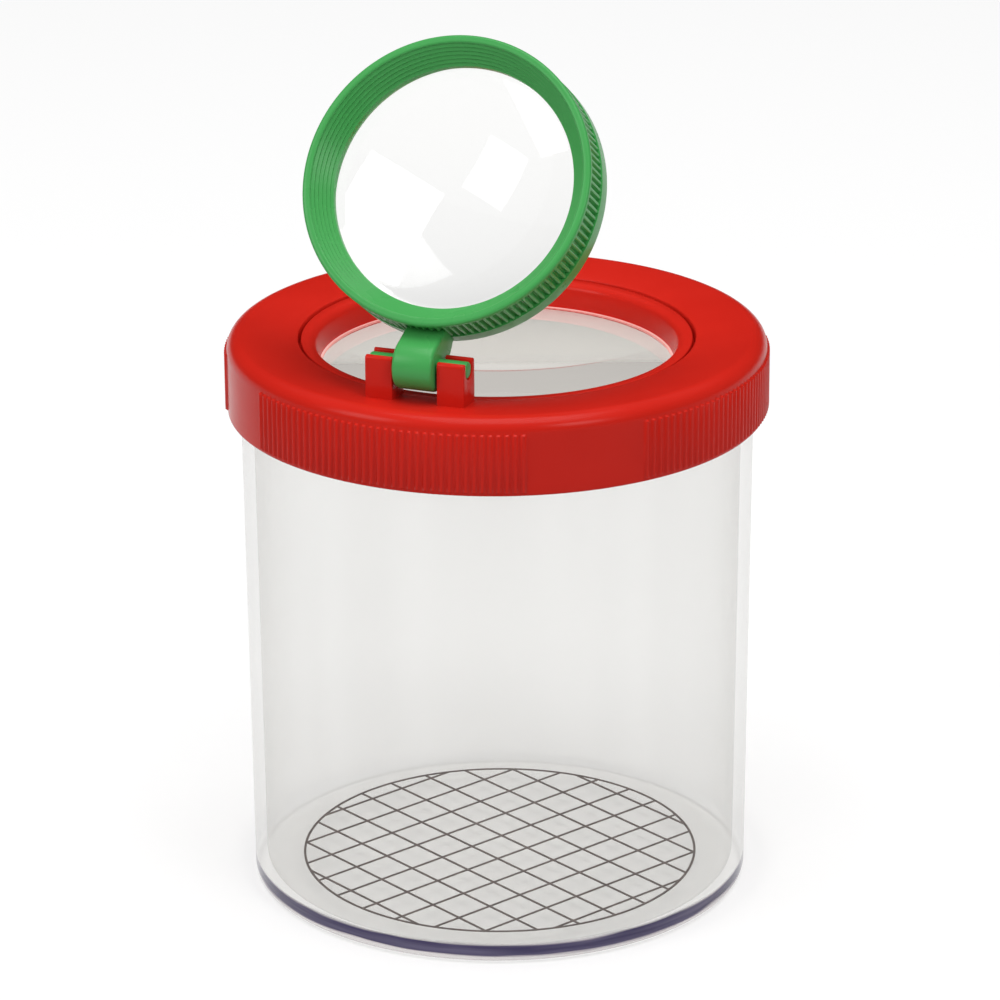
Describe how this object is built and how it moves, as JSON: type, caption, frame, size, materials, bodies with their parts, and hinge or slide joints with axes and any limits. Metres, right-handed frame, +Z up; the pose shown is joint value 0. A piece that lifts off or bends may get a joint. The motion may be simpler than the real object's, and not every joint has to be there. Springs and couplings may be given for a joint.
{
  "type": "bug viewer",
  "caption": "Round clear cup with a printed measuring grid on its floor, under a ribbed lift-off lid that holds a large lens and a small folding magnifier.",
  "frame": {"origin": "centre of the cup's flat underside", "axes": "+Z up along the cup's axis; the magnifier's hinge stands on the lid towards -Y, with its pin along X, so the folded magnifier lies towards +Y"},
  "size_m": [0.067, 0.067, 0.11],
  "materials": {
    "clear_plastic": "clear polished polystyrene",
    "lens_plastic": "clear polished acrylic",
    "grid_ink": "thin printed line",
    "red_plastic": "moulded, satin gloss",
    "green_plastic": "moulded, satin gloss"
  },
  "bodies": {
    "cup": {"cup": "clear_plastic", "measuring_grid": "grid_ink"},
    "lid": {"lid_shell": "red_plastic", "lens_ring": "red_plastic", "main_lens": "lens_plastic"},
    "magnifier": {"magnifier_frame": "green_plastic", "magnifier_lens": "lens_plastic"}
  },
  "joints": [
    {"name": "lid_lift", "type": "slide", "parent": "cup", "child": "lid", "axis": [0, 0, 1], "range_m": [0, 0.06]},
    {"name": "magnifier_fold", "type": "hinge", "parent": "lid", "child": "magnifier", "pos_m": [0, -0.02635, 0.0748], "axis": [1, 0, 0], "range_deg": [-58, 112]}
  ]
}
